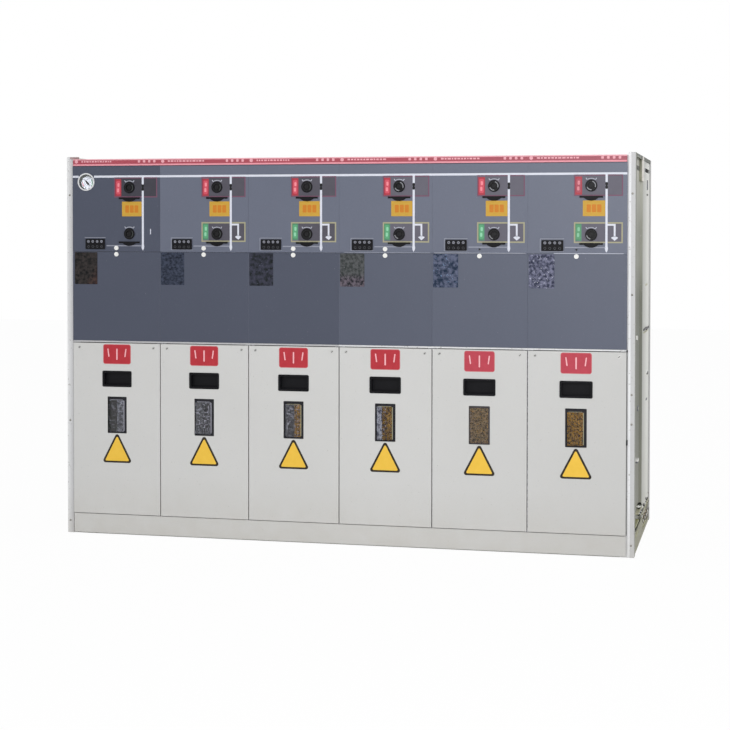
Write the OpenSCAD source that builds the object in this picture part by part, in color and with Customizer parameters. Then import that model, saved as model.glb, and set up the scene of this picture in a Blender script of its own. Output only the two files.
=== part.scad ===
// Gas insulated ring main unit: a lineup of equal bays behind one folded sheet front.
// Millimetres. +X runs along the lineup, the front faces -Y, +Z is up.
// The origin is on the floor, in the middle of the lineup's outline.

/* [Lineup] */
// Number of bays side by side
bays = 6; // [2:1:8]
// Width of one bay, seam included
bay_pitch = 375; // [320:1:500]
// Height of the end posts, which is the height of the lineup
lineup_h = 1550; // [1400:10:1900]
// Depth from the front of the end posts to the back of the rear panels
body_d = 900; // [650:10:1150]

/* [Frame] */
// Distance from the end of the lineup to its first bay
post_w = 35; // [30:1:60]
// Width of the end post's front face
post_face = 27; // [18:1:50]
// How far the end post's front face stands ahead of its ledge
post_proud = 6; // [3:1:15]
// How far the doors and panels of an end bay reach over its post
end_lap = 5; // [0:0.5:6]
// Width of the ledge on a post or partition that the doors and panels close on
ledge_w = 20; // [12:1:30]
// Depth of an end post from front to back
post_d = 40; // [30:1:70]
// Thickness of folded sheet
sheet = 2; // [1.5:0.5:4]
// Height of the base channels
base_h = 80; // [60:5:120]
// Depth of the front and rear base channels
base_rail_d = 50; // [40:5:80]
// Thickness of the base channels
base_t = 4; // [3:0.5:6]
// Width of a cross channel under a bay boundary
cross_w = 44; // [30:2:60]
// How far the end cross channels stand back from the ends of the lineup
end_cross_inset = 14; // [12:1:20]
// Radius of the anchor holes in the base channels
anchor_r = 7; // [5:0.5:9]

/* [Front] */
// Depth of the doors and panels, ahead of the end posts
panel_d = 18; // [12:1:30]
// Gap between two doors
door_gap = 4; // [2:0.5:8]
// Gap between two panels
seam = 1; // [1:0.5:4]
// Height of the skirt in front of the base
skirt_h = 78; // [60:1:110]
// Height of the skirt's lower edge above the floor
skirt_lift = 5; // [2:1:15]
// How far the skirt and the rail stand back from the doors
trim_setback = 4; // [0:1:8]
// Height of a door
door_h = 701; // [500:1:800]
// Height of the rail between doors and middle panels
rail_h = 7; // [6:1:20]
// Height of a mimic panel
mimic_h = 351; // [300:1:400]
// Height of the header strip
header_h = 27; // [18:1:40]
// How far the end posts rise above the header strip
post_rise = 10; // [0:1:30]

/* [Operating sockets] */
// Distance of the sockets from the left edge of their bay
socket_x = 243; // [200:1:270]
// Depth of the upper socket below the top of the mimic panel
socket_drop = 90; // [70:1:110]
// Distance between the upper and the lower socket
socket_pitch = 188; // [160:1:210]
// Radius of the bushing's flange
bushing_r = 23; // [21:0.5:30]
// Radius of the turning collar in the bushing
collar_r = 18.5; // [16.5:0.5:20]
// Running clearance between collar and bushing
running_gap = 0.05; // [0.02:0.01:0.1]
// Height of the bushing's flange on the panel
bushing_proud = 3; // [2:0.5:5]
// Height of the turning collar on the panel
collar_proud = 6; // [4:0.5:8]
// Width across the flats of the drive stub
drive_af = 17; // [12:0.5:20]

/* [Interlock slides] */
// Length of an interlock slide
slide_w = 90; // [70:1:110]
// Height of a slide's bar
slide_h = 7; // [5:0.5:12]
// Width of the lobe under the bar
lobe_w = 56; // [40:1:70]
// Depth of the lobe under the bar
lobe_drop = 11; // [6:1:16]
// Height of the slide on the panel
slide_t = 4; // [2:0.5:6]
// Distance of the upper slide below its socket
load_slide_drop = 43; // [38:1:50]
// Distance of the lower slide below its socket
earth_slide_drop = 35; // [34:1:45]

/* [Door] */
// Width of the inspection window
window_w = 83; // [60:1:120]
// Height of the inspection window
window_h = 150; // [100:1:200]
// Distance from the top of the door to the top of the window
window_drop = 219; // [200:1:260]
// Width of the seat that holds the window pane
window_seat = 10; // [6:1:16]
// Depth at which the pane lies behind the door's skin
pane_depth = 9; // [4:1:12]
// Thickness of the pane
pane_t = 4; // [3:0.5:5]
// Width of the pull cup's rim
cup_w = 127; // [100:1:150]
// Height of the pull cup's rim
cup_h = 66; // [50:1:80]
// Distance from the top of the door to the top of the pull cup
cup_drop = 113; // [100:1:125]
// Depth of the pull cup
cup_d = 24; // [15:1:30]
// Width of the cup's rim round its mouth
cup_rim = 8; // [5:1:12]

/* [Sides and back] */
// Depth of the rear panels behind the frame
rear_panel_d = 12; // [8:1:20]
// Length of the side panel's recessed front part
recess_l = 380; // [250:10:450]
// Depth of the side panel's recess
recess_d = 10; // [4:1:10]
// Thickness of the roof covers
roof_h = 10; // [6:1:20]

/* [Hidden] */
$fn = 48;

// Clearance round a body that passes through a panel
fit_gap = 0.3;

// Bushing sleeve behind its flange, and the turning shaft in it
sleeve_r = bushing_r - 2;
sleeve_l = 22;
drive_recess_r = 14;
drive_recess_d = 7;
drive_setback = 2;
notch_w = 12;
shaft_r = 11;
shaft_l = 60;

// Position flags behind their windows in the mimic panel, beside the bushings
flag_gap = 12;
load_flag_w = 28;
load_flag_h = 70;
earth_flag_w = 24;
earth_flag_h = 66;
flag_lap = 5;
flag_t = 2;
flag_corner_r = 2;
flag_x = socket_x - bushing_r - flag_gap - load_flag_w / 2;
earth_flag_rise = 10;

// Voltage indicator block
indicator_x = 95;
indicator_w = 84;
indicator_h = 42;
indicator_t = 5;
indicator_rise = 31;
indicator_corner_r = 3;
lamp_r = 6;
lamp_t = 1;
lamp_pitch = 19;

// Round caps beside the seam of the mimic panel
cap_x = 187;
cap_r = 9;
cap_t = 4;
cap_rise = 15;
cap_fall = 10.5;
cap_hole_r = 4;
bays_without_cap = [5, 6];

// Pressure gauge
gauge_bay = 1;
gauge_x = 56;
gauge_drop = 66;
gauge_r = 36;
gauge_body_r = 33;
gauge_t = 6;
gauge_body_l = 32;
gauge_bezel = 5;
gauge_cup_d = 11;
gauge_glass_t = 2;
gauge_glass_depth = 1.5;

// Door and window
window_x = bay_pitch / 2;
shell_t = 2.5;

door_lift = 3;
rail_lift = 3;
window_corner_r = 3;
cup_corner_r = 6;
cup_rim_t = 1.5;

// Slots near the top of the side panels, one at the front and one at the back
slot_l = 225;
slot_h = 16;
slot_drop = 50;
slot_margin = 20;

// Straps at the top of the ends, which join the lineup to another one
strap_lead = 48;
strap_w = 82;
strap_l = 98;
strap_t = 4;
strap_hole_r = 8;

// Plate on the left post, above the header strip
corner_plate_x = 10;
corner_plate_h = 9;

// Side, floor and barrier
floor_t = 2;
edge_clear = 0.5;
board_t = 4;
board_back = 365;
board_left = 93;
anchor_inset = 30;

// Earth terminal on the right end
earth_bar_margin = 2;
earth_bar_z = 22;
earth_bar_t = 4;
earth_bar_l = 370;
earth_bar_h = 40;
earth_bolts = 5;
bolt_af = 19;
bolt_head = 7.5;

// Driving lines of the lineup
lineup_w = 2 * post_w + bays * bay_pitch;
front_reach = panel_d + max(collar_proud, gauge_t, indicator_t + lamp_t);
frame_d = body_d - post_proud - rear_panel_d;
front_y = front_reach - (front_reach + frame_d + rear_panel_d) / 2;
skirt_top = skirt_lift + skirt_h;
door_z = skirt_top + door_lift;
door_top = door_z + door_h;
rail_z = door_top + rail_lift;
middle_z = rail_z + rail_h;
header_top = lineup_h - post_rise;
mimic_top = header_top - header_h;
mimic_z = mimic_top - mimic_h;
roof_z = header_top - roof_h;
ledge_x = post_w + ledge_w;
trim_x = post_w - end_lap + door_gap / 2;
skin_y = -panel_d;
trim_y = trim_setback - panel_d;

anchor_x = ledge_x + anchor_inset;

// Heights of the sockets and of the door's openings
load_z = mimic_top - socket_drop;
earth_z = load_z - socket_pitch;
window_z = door_top - window_drop - window_h / 2;
cup_z = door_top - cup_drop - cup_h / 2;

// Moves a sub-part from the lineup's own corner to the origin
module in_lineup() translate([-lineup_w / 2, front_y, 0]) children();

// Left edge of bay k, counted from 1
function bay_left(k) = post_w + (k - 1) * bay_pitch;

module at_bay(k) translate([bay_left(k), 0, 0]) children();

module each_bay() for (k = [1:bays]) at_bay(k) children();

// Left and right edge, in bay k, of a cover that leaves half a gap on each side
function cover_x0(k, gap) = gap / 2 - (k == 1 ? end_lap : 0);
function cover_x1(k, gap) = bay_pitch - gap / 2 + (k == bays ? end_lap : 0);

function has_upper_cap(k) = len(search(k, bays_without_cap)) == 0;

// The same piece at the other end of the lineup
module other_end() translate([lineup_w, 0, 0]) mirror([1, 0, 0]) children();

// A box from its low corner to its high corner
module block(low, high) translate(low) cube(high - low);

// A rectangle with round corners, centred, standing in the XZ plane and t deep towards +Y
module rounded_plate(w, h, r, t)
    rotate([-90, 0, 0]) linear_extrude(t)
        union() {
            square([w - 2 * r, h], center = true);
            square([w, h - 2 * r], center = true);
            for (x = [-1, 1], z = [-1, 1])
                translate([x * (w / 2 - r), z * (h / 2 - r)]) circle(r);
        }

// A cylinder along +Y
module barrel(r, l) rotate([-90, 0, 0]) cylinder(r = r, h = l);

// A folded tray, open to the back: its skin faces -Y
module tray(x0, x1, z0, z1, d)
    difference() {
        block([x0, -d, z0], [x1, 0, z1]);
        block([x0 + sheet, sheet - d, z0 + sheet], [x1 - sheet, 1, z1 - sheet]);
    }

// Channel section lying along +X, open to the back, with flanges at top and bottom
module channel_x(l, d, h, t)
    difference() {
        cube([l, d, h]);
        translate([-1, t, t]) cube([l + 2, d, h - 2 * t]);
    }

module base_rails() color([0.62, 0.63, 0.62]) in_lineup()
    difference() {
        union() {
            translate([ledge_x, 0, 0])
                channel_x(lineup_w - 2 * ledge_x, base_rail_d, base_h, base_t);
            translate([ledge_x, frame_d, 0]) mirror([0, 1, 0])
                channel_x(lineup_w - 2 * ledge_x, base_rail_d, base_h, base_t);
        }
        for (x = [anchor_x, lineup_w - anchor_x], y = [base_rail_d / 2, frame_d - base_rail_d / 2])
            translate([x, y, -1]) cylinder(r = anchor_r, h = base_t + 2);
    }

// Channels from front to back: one at each end and one under each bay boundary
module end_cross()
    difference() {
        block([end_cross_inset, post_d, 0], [ledge_x, frame_d - post_d, base_h]);
        block([end_cross_inset + base_t, post_d - 1, base_t],
              [ledge_x + 1, frame_d - post_d + 1, base_h - base_t]);
    }

module base_crossmembers() color([0.60, 0.61, 0.60]) in_lineup() {
    end_cross();
    other_end() end_cross();
    for (k = [2:bays])
        translate([bay_left(k) - cross_w / 2, base_rail_d, 0])
            difference() {
                cube([cross_w, frame_d - 2 * base_rail_d, base_h]);
                translate([base_t, -1, base_t])
                    cube([cross_w, frame_d, base_h - 2 * base_t]);
            }
}

module plinth_skirt() color([0.78, 0.78, 0.77]) in_lineup()
    difference() {
        block([trim_x, trim_y, skirt_lift], [lineup_w - trim_x, 0, skirt_top]);
        block([trim_x - 1, trim_y + sheet, skirt_lift - 1],
              [lineup_w - trim_x + 1, 1, skirt_top - sheet]);
    }

module floor_plates() color([0.55, 0.57, 0.57]) in_lineup()
    for (k = [1:bays])
        block([k == 1 ? end_cross_inset + edge_clear + sheet : bay_left(k) + edge_clear + sheet,
               sheet + edge_clear, base_h],
              [k == bays ? lineup_w - end_cross_inset - edge_clear - sheet
                         : bay_left(k + 1) - edge_clear - sheet,
               frame_d - sheet - edge_clear, base_h + floor_t]);

// Folded end post: a proud front face, the ledge beside it, a side face and a return.
// The ledge ends at the header's top, the face runs on to the top of the lineup.
module front_post() {
    linear_extrude(header_top)
        polygon([[0, -post_proud], [post_face, -post_proud], [post_face, 0],
                 [ledge_x, 0], [ledge_x, sheet], [post_face - sheet, sheet],
                 [post_face - sheet, sheet - post_proud], [sheet, sheet - post_proud],
                 [sheet, post_d - sheet], [end_cross_inset + sheet, post_d - sheet],
                 [end_cross_inset + sheet, post_d], [0, post_d]]);
    translate([0, 0, header_top - 1]) linear_extrude(post_rise + 1)
        polygon([[0, -post_proud], [post_face, -post_proud], [post_face, sheet - post_proud],
                 [sheet, sheet - post_proud], [sheet, post_d - sheet],
                 [end_cross_inset + sheet, post_d - sheet],
                 [end_cross_inset + sheet, post_d], [0, post_d]]);
}

// Small plate on the front of the left post
module corner_plate()
    block([corner_plate_x, -post_proud - sheet, lineup_h - corner_plate_h],
          [ledge_x, -post_proud, lineup_h]);

module rear_post() translate([0, frame_d, 0]) mirror([0, 1, 0]) front_post();

module front_posts() color([0.83, 0.83, 0.82]) in_lineup() {
    front_post();
    corner_plate();
    other_end() front_post();
}

module rear_posts() color([0.83, 0.83, 0.82]) in_lineup() {
    rear_post();
    other_end() rear_post();
}

// Side panel: one slotted sheet with a recessed front part, a joining strap
// and a top return that carries the roof
module side_panel() {
    recess_end = post_d + recess_l;
    in_x = end_cross_inset;
    out_x = end_cross_inset - recess_d;
    back = frame_d - post_d;
    strap_y = recess_end - strap_lead;
    difference() {
        translate([0, 0, base_h]) linear_extrude(lineup_h - sheet - base_h)
            polygon([[in_x, post_d], [in_x, recess_end], [out_x, recess_end + recess_d],
                     [out_x, back - recess_d], [in_x, back],
                     [in_x + sheet, back], [in_x + sheet, back - sheet],
                     [out_x + sheet, back - recess_d - sheet],
                     [out_x + sheet, recess_end + recess_d + sheet],
                     [in_x + sheet, recess_end + sheet], [in_x + sheet, post_d]]);
        for (y = [post_d + slot_margin, back - recess_d - slot_margin - slot_l])
            translate([-1, y, lineup_h - slot_drop - slot_h / 2])
                cube([in_x + sheet + 2, slot_l, slot_h]);
    }
    difference() {
        block([out_x - strap_t, strap_y, lineup_h - sheet - strap_l],
              [out_x, strap_y + strap_w, lineup_h - sheet]);
        translate([out_x - strap_t - 1, strap_y + strap_w / 3, lineup_h - strap_l + strap_hole_r])
            rotate([0, 90, 0]) cylinder(r = strap_hole_r, h = strap_t + 2);
    }
    translate([0, 0, roof_z - sheet]) linear_extrude(sheet)
        polygon([[in_x, post_d], [in_x, recess_end], [out_x, recess_end + recess_d],
                 [out_x, back - recess_d], [in_x, back], [ledge_x, back], [ledge_x, post_d]]);
}

module side_panels() color([0.66, 0.67, 0.63]) in_lineup() {
    side_panel();
    other_end() side_panel();
}

// Earth terminal: a flat bar with bolts on the right end cross channel
module earth_terminal() color([0.55, 0.52, 0.46]) in_lineup()
    translate([lineup_w - end_cross_inset, frame_d - post_d - earth_bar_margin - earth_bar_l,
               earth_bar_z]) {
        cube([earth_bar_t, earth_bar_l, earth_bar_h]);
        for (i = [0:earth_bolts - 1])
            translate([earth_bar_t - 1, earth_bar_l * (i + 0.5) / earth_bolts, earth_bar_h / 2])
                rotate([0, 90, 0]) cylinder(r = bolt_af / sqrt(3), h = bolt_head + 1, $fn = 6);
    }

// Partition between two bays, with a ledge at the front and one at the back
module bay_partitions() color([0.60, 0.62, 0.62]) in_lineup()
    for (k = [2:bays])
        translate([bay_left(k), 0, base_h]) linear_extrude(roof_z - base_h) {
            translate([-ledge_w, 0]) square([2 * ledge_w, sheet]);
            translate([-ledge_w, frame_d - sheet]) square([2 * ledge_w, sheet]);
            translate([-sheet / 2, 0]) square([sheet, frame_d]);
        }

// Insulating boards that stand in the cable compartments
module barrier_boards() color([0.62, 0.47, 0.24]) in_lineup() each_bay()
    block([window_x - board_left, board_back, base_h + floor_t],
          [bay_pitch - sheet / 2 - edge_clear, board_back + board_t, door_top]);

module mid_rail() color([0.80, 0.80, 0.79]) in_lineup()
    block([trim_x, trim_y, rail_z], [lineup_w - trim_x, 0, middle_z]);

module middle_panels() color([0.36, 0.39, 0.44]) in_lineup()
    for (k = [1:bays]) at_bay(k)
        tray(cover_x0(k, seam), cover_x1(k, seam), middle_z, mimic_z - seam, panel_d);

module header_strip() color([0.70, 0.22, 0.26]) in_lineup()
    tray(trim_x, lineup_w - trim_x, mimic_top, header_top, panel_d);

// Covers of the roof, folded down at their edges
module roof_covers() color([0.72, 0.73, 0.72]) in_lineup() each_bay()
    difference() {
        block([seam / 2, sheet, roof_z], [bay_pitch - seam / 2, frame_d - sheet, header_top]);
        block([seam / 2 + sheet, 2 * sheet, roof_z - 1],
              [bay_pitch - seam / 2 - sheet, frame_d - 2 * sheet, header_top - sheet]);
    }

module rear_panels() color([0.76, 0.77, 0.76]) in_lineup()
    for (k = [1:bays]) at_bay(k) translate([0, frame_d, 0]) mirror([0, 1, 0])
        tray(cover_x0(k, seam), cover_x1(k, seam), skirt_top, header_top, rear_panel_d);

// A door with its window and the seat of its pull cup
module door(k) color([0.79, 0.79, 0.78]) in_lineup() at_bay(k)
    difference() {
        tray(cover_x0(k, door_gap), cover_x1(k, door_gap), door_z, door_top, panel_d);
        translate([window_x, skin_y - 1, window_z])
            rounded_plate(window_w, window_h, window_corner_r, sheet + 2);
        translate([window_x, skin_y - 1, cup_z])
            rounded_plate(cup_w - cup_rim, cup_h - cup_rim, cup_corner_r - 2, sheet + 2);
    }

// Frame behind the door's skin, which holds the pane at its depth
module window_frames() color([0.10, 0.10, 0.11]) in_lineup() each_bay()
    translate([window_x, skin_y + sheet, window_z])
        difference() {
            rounded_plate(window_w + 2 * window_seat, window_h + 2 * window_seat,
                          window_corner_r, pane_depth);
            translate([0, -1, 0])
                rounded_plate(window_w, window_h, window_corner_r, pane_depth + 2);
        }

module window_panes() color([0.45, 0.47, 0.48, 0.5]) in_lineup() each_bay()
    translate([window_x, skin_y + sheet + pane_depth, window_z])
        rounded_plate(window_w + 2 * window_seat, window_h + 2 * window_seat,
                      window_corner_r, pane_t);

// Recessed pull cup: a rim on the door's skin and a shell behind it
module pull_cups() color([0.05, 0.05, 0.06]) in_lineup() each_bay()
    translate([window_x, skin_y, cup_z]) {
        mouth_w = cup_w - 2 * cup_rim;
        mouth_h = cup_h - 2 * cup_rim;
        difference() {
            union() {
                translate([0, -cup_rim_t, 0]) rounded_plate(cup_w, cup_h, cup_corner_r, cup_rim_t);
                rounded_plate(mouth_w + 2 * shell_t, mouth_h + 2 * shell_t,
                              cup_corner_r - 2, cup_d);
            }
            translate([0, -cup_rim_t - 1, 0])
                rounded_plate(mouth_w, mouth_h, cup_corner_r / 2, cup_d + cup_rim_t + 1 - shell_t);
        }
    }

module mimic_panels() color([0.38, 0.41, 0.46]) in_lineup()
    for (k = [1:bays]) at_bay(k) mimic_panel(k);

// Mimic panel with the holes for its sockets, flags, gauge and a missing cap
module mimic_panel(k)
    difference() {
        tray(cover_x0(k, seam), cover_x1(k, seam), mimic_z, mimic_top, panel_d);
        for (z = [load_z, earth_z])
            translate([socket_x, skin_y - 1, z]) barrel(sleeve_r + fit_gap, sheet + 2);
        translate([flag_x, skin_y - 1, load_z])
            rounded_plate(load_flag_w, load_flag_h, flag_corner_r, sheet + 2);
        if (k > 1)
            translate([flag_x, skin_y - 1, earth_z + earth_flag_rise])
                rounded_plate(earth_flag_w, earth_flag_h, flag_corner_r, sheet + 2);
        if (k == gauge_bay)
            translate([gauge_x, skin_y - 1, mimic_top - gauge_drop])
                barrel(gauge_body_r + fit_gap, sheet + 2);
        if (!has_upper_cap(k))
            translate([cap_x, skin_y - 1, mimic_z + cap_rise]) barrel(cap_hole_r, sheet + 2);
    }

module bushing()
    difference() {
        union() {
            translate([0, skin_y - bushing_proud, 0]) barrel(bushing_r, bushing_proud);
            translate([0, skin_y - 1, 0]) barrel(sleeve_r, sleeve_l + 1);
        }
        translate([0, skin_y - bushing_proud - 1, 0])
            barrel(collar_r + running_gap, bushing_proud + sleeve_l + 2);
    }

module operating_bushings() color([0.06, 0.06, 0.07]) in_lineup() each_bay()
    for (z = [load_z, earth_z]) translate([socket_x, 0, z]) bushing();

// Turning shaft: a collar with a pointer notch, a drive stub in its recess and the shaft behind
module operating_shaft()
    translate([0, skin_y - collar_proud, 0]) {
        difference() {
            barrel(collar_r, collar_proud + sleeve_l);
            translate([0, -1, 0]) barrel(drive_recess_r, drive_recess_d + 1);
            block([drive_recess_r - 2, -1, -notch_w / 2],
                  [collar_r + 1, collar_proud - bushing_proud, notch_w / 2]);
        }
        translate([0, drive_setback, 0]) rotate([-90, 0, 0])
            cylinder(r = drive_af / sqrt(3), h = drive_recess_d, $fn = 6);
        translate([0, collar_proud + sleeve_l - 1, 0]) barrel(shaft_r, shaft_l);
    }

module load_shaft(k) color([0.12, 0.12, 0.13]) in_lineup() at_bay(k)
    translate([socket_x, 0, load_z]) operating_shaft();
module earth_shaft(k) color([0.12, 0.12, 0.13]) in_lineup() at_bay(k)
    translate([socket_x, 0, earth_z]) operating_shaft();

// Interlock slide: a bar with a round lobe under it
module interlock_slide() {
    lobe_r = (lobe_w * lobe_w / 4 + lobe_drop * lobe_drop) / (2 * lobe_drop);
    translate([0, skin_y, 0]) rotate([90, 0, 0]) linear_extrude(slide_t)
        union() {
            square([slide_w, slide_h], center = true);
            intersection() {
                translate([0, lobe_r - lobe_drop - slide_h / 2]) circle(lobe_r, $fn = 96);
                translate([-lobe_w / 2, -slide_h / 2 - lobe_drop])
                    square([lobe_w, lobe_drop + slide_h / 2]);
            }
        }
}

module interlock_slides() color([0.05, 0.05, 0.05]) in_lineup() each_bay() {
    translate([socket_x, 0, load_z - load_slide_drop]) interlock_slide();
    translate([socket_x, 0, earth_z - earth_slide_drop]) interlock_slide();
}

// Position flags lie against the back of the panel's skin
module flag(w, h) translate([flag_x, skin_y + sheet, 0])
    rounded_plate(w + 2 * flag_lap, h + 2 * flag_lap, flag_corner_r, flag_t);

module load_flags() color([0.78, 0.22, 0.25]) in_lineup() each_bay()
    translate([0, 0, load_z]) flag(load_flag_w, load_flag_h);

module earth_flags() color([0.40, 0.62, 0.48]) in_lineup()
    for (k = [2:bays]) at_bay(k)
        translate([0, 0, earth_z + earth_flag_rise]) flag(earth_flag_w, earth_flag_h);

// Voltage indicator: a block with a row of lamp rings over a row of test points
module voltage_indicators() color([0.06, 0.06, 0.07]) in_lineup() each_bay()
    translate([indicator_x, skin_y - indicator_t, mimic_z + indicator_rise]) {
        rounded_plate(indicator_w, indicator_h, indicator_corner_r, indicator_t);
        for (i = [-1.5:1.5], z = [-1, 1])
            translate([i * lamp_pitch, -lamp_t, z * indicator_h / 4]) barrel(lamp_r, lamp_t + 1);
    }

// Two caps in each bay: one above the seam, where it isn't lost, and one below
module panel_caps() color([0.88, 0.88, 0.86]) in_lineup()
    for (k = [1:bays]) at_bay(k) {
        translate([cap_x, skin_y - cap_t, mimic_z - cap_fall]) barrel(cap_r, cap_t);
        if (has_upper_cap(k))
            translate([cap_x, skin_y - cap_t, mimic_z + cap_rise]) barrel(cap_r, cap_t);
    }

module gauge_case() color([0.60, 0.61, 0.62]) in_lineup() at_bay(gauge_bay)
    translate([gauge_x, skin_y, mimic_top - gauge_drop])
        difference() {
            union() {
                translate([0, -gauge_t, 0]) barrel(gauge_r, gauge_t);
                translate([0, -1, 0]) barrel(gauge_body_r, gauge_body_l + 1);
            }
            translate([0, -gauge_t - 1, 0]) barrel(gauge_r - gauge_bezel, gauge_cup_d + 1);
        }

module gauge_glass() color([0.8, 0.85, 0.85, 0.4]) in_lineup() at_bay(gauge_bay)
    translate([gauge_x, skin_y - gauge_t + gauge_glass_depth, mimic_top - gauge_drop])
        barrel(gauge_r - gauge_bezel, gauge_glass_t);

base_rails();
base_crossmembers();
plinth_skirt();
floor_plates();
front_posts();
rear_posts();
side_panels();
bay_partitions();
barrier_boards();
mid_rail();
middle_panels();
mimic_panels();
header_strip();
roof_covers();
rear_panels();
earth_terminal();
window_frames();
window_panes();
pull_cups();
operating_bushings();
interlock_slides();
load_flags();
earth_flags();
voltage_indicators();
panel_caps();
gauge_case();
gauge_glass();
for (k = [1:bays]) {
    door(k);
    load_shaft(k);
    earth_shaft(k);
}
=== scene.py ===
import random
from math import atan2, cos, degrees, radians, sin, sqrt, tan, tau

import bmesh
import bpy
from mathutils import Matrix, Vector


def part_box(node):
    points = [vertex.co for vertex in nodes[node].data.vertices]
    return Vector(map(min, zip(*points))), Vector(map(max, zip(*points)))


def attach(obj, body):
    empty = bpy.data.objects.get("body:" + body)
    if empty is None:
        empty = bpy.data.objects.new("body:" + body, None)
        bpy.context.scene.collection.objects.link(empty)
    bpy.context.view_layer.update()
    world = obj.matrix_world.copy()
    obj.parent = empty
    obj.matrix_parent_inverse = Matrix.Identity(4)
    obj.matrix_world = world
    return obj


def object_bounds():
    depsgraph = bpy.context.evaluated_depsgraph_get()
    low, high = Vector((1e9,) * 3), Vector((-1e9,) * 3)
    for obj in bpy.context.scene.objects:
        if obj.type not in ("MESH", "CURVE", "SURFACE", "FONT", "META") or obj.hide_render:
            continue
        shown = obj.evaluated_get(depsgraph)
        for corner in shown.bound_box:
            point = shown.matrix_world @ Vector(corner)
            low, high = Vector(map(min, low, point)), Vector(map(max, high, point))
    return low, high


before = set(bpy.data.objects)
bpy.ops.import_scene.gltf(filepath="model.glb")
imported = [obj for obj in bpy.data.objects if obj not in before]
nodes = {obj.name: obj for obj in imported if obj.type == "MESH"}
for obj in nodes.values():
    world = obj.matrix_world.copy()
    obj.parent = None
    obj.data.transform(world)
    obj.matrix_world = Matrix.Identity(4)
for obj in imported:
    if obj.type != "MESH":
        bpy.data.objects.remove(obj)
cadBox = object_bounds()
scene = bpy.context.scene
mm = 0.001
print("frame in place:", len(nodes), "CAD nodes")


# where things are, all from the CAD, in mm like every size below

def low(node):
    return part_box(node)[0] / mm


def high(node):
    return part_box(node)[1] / mm


def middle(node):
    return (low(node) + high(node)) / 2


def reach(node, axis):  # its two ends along x, y or z
    return getattr(low(node), axis), getattr(high(node), axis)


layout = dict(
    socketFromLeft=243,  # from a bay's left edge to its sockets
    cornerPlate=2,  # the plate on the left post stands this far ahead of it
    gaugeBay=1,
)
bayCount = len([n for n in nodes if n.startswith("door_")])
pitch = middle("load_shaft_2").x - middle("load_shaft_1").x
skin = low("door_1").y  # the front of the doors and panels
postFace = low("front_posts").y + layout["cornerPlate"]
doorLow, doorTop = reach("door_1", "z")
mimicLow, mimicTop = reach("mimic_panels", "z")
leftEnd, rightEnd, topEnd = cadBox[0].x / mm, cadBox[1].x / mm, cadBox[1].z / mm


def makeBay(k):
    load, earth = middle(f"load_shaft_{k}"), middle(f"earth_shaft_{k}")
    left = load.x - layout["socketFromLeft"]
    return dict(number=k, left=left, right=left + pitch, centre=left + pitch / 2,
                socket=load.x, loadZ=load.z, earthZ=earth.z)


bays = [makeBay(k) for k in range(1, bayCount + 1)]


# outlines: lists of (x, z), anticlockwise seen from the front

def arc(cx, cz, r, start, end, steps):
    turns = [radians(start + (end - start) * i / steps) for i in range(steps + 1)]
    return [(cx + r * cos(a), cz + r * sin(a)) for a in turns]


def box(x0, z0, x1, z1):
    return [(x0, z0), (x1, z0), (x1, z1), (x0, z1)]


def centredBox(cx, cz, w, h, r, steps=5):  # with round corners
    x, z = w / 2 - r, h / 2 - r
    return [point for dx, dz, start in ((x, -z, -90), (x, z, 0), (-x, z, 90), (-x, -z, 180))
            for point in arc(cx + dx, cz + dz, r, start, start + 90, steps)]


def disc(cx, cz, r, steps=32):
    return arc(cx, cz, r, 0, 360, steps)[:-1]


def arcBand(cx, cz, inner, outer, start, end, steps=14):
    return arc(cx, cz, outer, start, end, steps) + arc(cx, cz, inner, start, end, steps)[::-1]


def mirrored(cx, cz, half):  # the right half of an outline, from its foot up, and its mirror image
    return ([(cx + x, cz + z) for x, z in half]
            + [(cx - x, cz + z) for x, z in reversed(half) if x])


def roundCorners(points, r, steps=6):  # a convex outline with its corners rounded off
    out = []
    for i, point in enumerate(points):
        p = Vector(point)
        before = (Vector(points[i - 1]) - p).normalized()
        after = (Vector(points[(i + 1) % len(points)]) - p).normalized()
        half = before.angle(after) / 2
        centre = p + (before + after).normalized() * (r / sin(half))
        first, last = [p + way * (r / tan(half)) - centre for way in (before, after)]
        start = degrees(atan2(first.y, first.x))
        sweep = (degrees(atan2(last.y, last.x)) - start) % 360
        out += arc(centre.x, centre.y, r, start, start + sweep, steps)
    return out


def tilted(outline, cx, cz, turn):
    c, s = cos(radians(turn)), sin(radians(turn))
    return [(cx + (x - cx) * c - (z - cz) * s, cz + (x - cx) * s + (z - cz) * c)
            for x, z in outline]


# solids

bm = bmesh.new()  # the piece in hand, which makePiece takes and clears for the next one


def slab(outline, y, thick, index=0):  # its back lies at y, its front stands ahead of it
    front, back = [[bm.verts.new((x * mm, (y - ahead) * mm, z * mm)) for x, z in outline]
                   for ahead in (thick, 0)]
    quads = [(front[i - 1], back[i - 1], back[i], front[i]) for i in range(len(outline))]
    for face in [front, back[::-1]] + quads:
        bm.faces.new(face).material_index = index


def frameSlab(outer, inner, y, thick, index=0):  # both outlines have as many points
    outFront, outBack, inFront, inBack = [
        [bm.verts.new((x * mm, (y - ahead) * mm, z * mm)) for x, z in line]
        for line in (outer, inner) for ahead in (thick, 0)]
    for i in range(len(outer)):
        for a, b in ((outFront, inFront), (inBack, outBack), (outBack, outFront),
                     (inFront, inBack)):
            bm.faces.new((a[i - 1], a[i], b[i], b[i - 1])).material_index = index


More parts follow.
